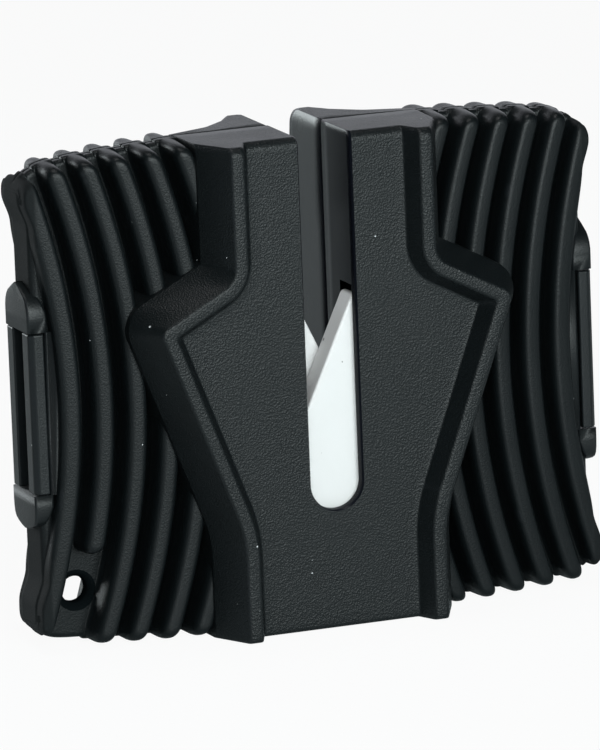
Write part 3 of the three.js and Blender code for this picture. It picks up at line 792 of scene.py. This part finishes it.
# stage, light and camera
stageLook = {
    "floor": (0.74, 0.80, 0.82, 1), "cameraLift": 0.93, "ambient": 0.03, "back": 1.25, "side": 0.03,
    "tint": (0.90, 0.93, 1.0, 1), "brightTo": 0.40, "darkFrom": 0.60, "above": 0.06, "below": 0.36,
    "backFrom": 0.5, "backTo": 0.85, "belowFrom": -0.12, "belowTo": 0.04, "aim": (0, 0, 0.025),
    "left": -0.5, "right": 0.5, "near": -0.7, "far": 0.5, "floorZ": -0.00002,
}
lampLook = [
    {
        "name": "keySoftbox", "place": (0.10, -0.70, 0.17), "size": 0.30, "power": 4.9,
        "tint": (0.90, 1, 1), "gloss": 1.0,
    },
    {
        "name": "leftFill", "place": (-0.22, -0.60, 0.30), "size": 0.30, "power": 2.3,
        "tint": (0.94, 1, 1), "gloss": 0.3,
    },
    {
        "name": "overhead", "place": (-0.05, 0.02, 0.70), "size": 0.30, "power": 1.4,
        "tint": (1, 1, 1), "gloss": 0.0,
    },
    {
        "name": "rearSoftbox", "place": (-0.33, 0.72, 0.12), "size": 0.30, "power": 1.3,
        "tint": (0.90, 1, 1), "gloss": 0.6,
    },
]


def makeFloor():
    look = stageLook
    mesh = bpy.data.meshes.new("floor")
    corners = [
        (look["left"], look["near"]), (look["right"], look["near"]),
        (look["right"], look["far"]), (look["left"], look["far"]),
    ]
    mesh.from_pydata([(x, y, look["floorZ"]) for x, y in corners], [], [(0, 1, 2, 3)])
    floor = bpy.data.objects.new("floor", mesh)
    bpy.context.scene.collection.objects.link(floor)
    material = bpy.data.materials.new("paleFloor")
    material.use_nodes = True
    tree = material.node_tree
    tree.nodes.clear()
    out = tree.nodes.new("ShaderNodeOutputMaterial")
    pale = tree.nodes.new("ShaderNodeBsdfDiffuse")
    pale.inputs["Color"].default_value = look["floor"]
    glow = tree.nodes.new("ShaderNodeEmission")
    rays = tree.nodes.new("ShaderNodeLightPath")
    mix = tree.nodes.new("ShaderNodeMixShader")
    lift = mathNode(tree, "MULTIPLY", rays.outputs["Is Camera Ray"], look["cameraLift"])
    tree.links.new(lift, mix.inputs[0])
    tree.links.new(pale.outputs[0], mix.inputs[1])
    tree.links.new(glow.outputs[0], mix.inputs[2])
    tree.links.new(mix.outputs[0], out.inputs["Surface"])
    mesh.materials.append(material)


def easeNode(tree, value, low, high, toLow=0.0, toHigh=1.0):  # eases from one value to another
    node = addNode(tree, "ShaderNodeMapRange", [("Value", value)], interpolation_type="SMOOTHSTEP")
    for title, number in (("From Min", low), ("From Max", high), ("To Min", toLow), ("To Max", toHigh)):
        node.inputs[title].default_value = number
    return node.outputs[0]


def makeWorld():  # white to the camera, a bright rear wall in mirrored light, and a little light all round
    look = stageLook
    world = bpy.data.worlds.new("studio")
    bpy.context.scene.world = world
    world.use_nodes = True
    tree = world.node_tree
    shade = tree.nodes["Background"]
    rays = tree.nodes.new("ShaderNodeLightPath")
    seen, mirrored = rays.outputs["Is Camera Ray"], rays.outputs["Is Glossy Ray"]
    toward = tree.nodes.new("ShaderNodeTexCoord").outputs["Generated"]
    parts = addNode(tree, "ShaderNodeSeparateXYZ", [("Vector", toward)])
    back = easeNode(tree, parts.outputs["Y"], look["backFrom"], look["backTo"], look["side"], look["back"])
    band = easeNode(tree, parts.outputs["Z"], look["brightTo"], look["darkFrom"], 1.0, look["above"])
    under = easeNode(tree, parts.outputs["Z"], look["belowFrom"], look["belowTo"], look["below"])
    wall = mathNode(tree, "MULTIPLY", mathNode(tree, "MULTIPLY", back, band), under)
    shiny = mathNode(tree, "MULTIPLY", mirrored, wall)
    plainLight = mathNode(tree, "MULTIPLY", mathNode(tree, "SUBTRACT", 1.0, mirrored), look["ambient"])
    strength = mathNode(tree, "ADD", shiny, plainLight)
    tree.links.new(mathNode(tree, "MAXIMUM", strength, seen), shade.inputs["Strength"])
    white = mixColour(tree, seen, look["tint"], (1, 1, 1, 1))
    tree.links.new(white, shade.inputs["Color"])


def makeLamps():
    for look in lampLook:
        lamp = bpy.data.lights.new(look["name"], "AREA")
        lamp.size = look["size"]
        lamp.energy = look["power"]
        lamp.color = look["tint"]
        lamp.specular_factor = look["gloss"]
        thing = bpy.data.objects.new(look["name"], lamp)
        thing.location = look["place"]
        aim = Vector(stageLook["aim"]) - Vector(look["place"])
        thing.rotation_euler = aim.to_track_quat("-Z", "Y").to_euler()
        bpy.context.scene.collection.objects.link(thing)


cameraLook = {
    "azimuth": -21.06, "elevation": 12.1446, "roll": -2.2356, "lens": 432.12,
    "shift": (0.3838, 0.7093), "distance": 900.0, "aim": (0.0, 0.0, 25.0),
    "sensor": 36, "clip": (0.05, 20),
}


def makeCamera():
    look = cameraLook
    a, e, r = (math.radians(look[k]) for k in ("azimuth", "elevation", "roll"))
    back = np.array([math.sin(a) * math.cos(e), -math.cos(a) * math.cos(e), math.sin(e)])
    across = np.array([math.cos(a), math.sin(a), 0])
    up = np.cross(back, across)
    turned = np.array([
        math.cos(r) * across + math.sin(r) * up, math.cos(r) * up - math.sin(r) * across, back,
    ])
    offset = np.array([-look["shift"][0], -look["shift"][1], look["distance"]])
    place = np.array(look["aim"]) + turned.T @ offset
    data = bpy.data.cameras.new("camera")
    data.lens = look["lens"]
    data.sensor_width = look["sensor"]
    data.clip_start, data.clip_end = look["clip"]
    camera = bpy.data.objects.new("camera", data)
    matrix = Matrix(turned.T.tolist()).to_4x4()
    matrix.translation = Vector(place * mm)
    camera.matrix_world = matrix
    bpy.context.scene.collection.objects.link(camera)
    bpy.context.scene.camera = camera


makeFloor()
makeWorld()
makeLamps()
makeCamera()
bpy.context.scene.view_settings.view_transform = "Standard"
print("stage, light and camera ready")
